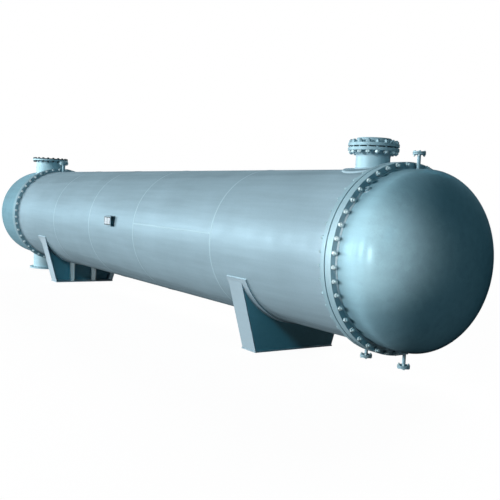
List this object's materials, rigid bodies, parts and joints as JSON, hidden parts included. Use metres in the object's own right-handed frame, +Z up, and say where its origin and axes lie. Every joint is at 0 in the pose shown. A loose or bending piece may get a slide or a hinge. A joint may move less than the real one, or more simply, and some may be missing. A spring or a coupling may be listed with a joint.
{
  "type": "shell and tube heat exchanger",
  "caption": "Horizontal shell and tube heat exchanger with bolted girth joints, dished ends, top and bottom flanged nozzles, vents, drains and two saddles.",
  "frame": {"origin": "on the ground under the middle of the vessel's overall length, on its centre plane", "axes": "+X along the vessel towards the return head, +Z up, -Y the side with the nameplate"},
  "size_m": [11.121, 1.7598, 2.239],
  "materials": {
    "shell_paint": "glossy blue-grey paint",
    "flange_paint": "semi-gloss blue-grey paint",
    "saddle_paint": "semi-gloss blue-grey paint",
    "inner_plate": "plain mill finish steel",
    "gasket": "matt dark fibre sheet",
    "nameplate": "bare brushed plate"
  },
  "bodies": {
    "root": {"channel_barrel": "shell_paint", "channel_gasket": "gasket", "channel_girth_flange": "flange_paint", "channel_head": "shell_paint", "channel_inlet_cover": "flange_paint", "channel_inlet_flange": "flange_paint", "channel_inlet_neck": "shell_paint", "channel_outlet_flange": "flange_paint", "channel_outlet_neck": "shell_paint", "channel_saddle_base": "saddle_paint", "channel_saddle_pad": "saddle_paint", "channel_saddle_ribs": "saddle_paint", "channel_saddle_web": "saddle_paint", "channel_tubesheet": "flange_paint", "head_drain_blind": "flange_paint", "head_drain_nozzle": "flange_paint", "head_vent_blind": "flange_paint", "head_vent_nozzle": "flange_paint", "impingement_plate": "inner_plate", "nameplate": "nameplate", "nameplate_bracket": "shell_paint", "pass_partition": "inner_plate", "return_barrel": "shell_paint", "return_barrel_boss": "flange_paint", "return_gasket": "gasket", "return_girth_flange": "flange_paint", "return_head": "shell_paint", "return_saddle_base": "saddle_paint", "return_saddle_pad": "saddle_paint", "return_saddle_ribs": "saddle_paint", "return_saddle_web": "saddle_paint", "return_tubesheet": "flange_paint", "shell_course_1": "shell_paint", "shell_course_2": "shell_paint", "shell_course_3": "shell_paint", "shell_course_4": "shell_paint", "shell_course_5": "shell_paint", "shell_drain_blind": "flange_paint", "shell_drain_nozzle": "flange_paint", "shell_inlet_flange": "flange_paint", "shell_inlet_gasket": "gasket", "shell_inlet_mating_flange": "flange_paint", "shell_inlet_neck": "shell_paint", "shell_inlet_pad": "shell_paint", "shell_vent_blind": "flange_paint", "shell_vent_nozzle": "flange_paint"}
  },
  "joints": []
}
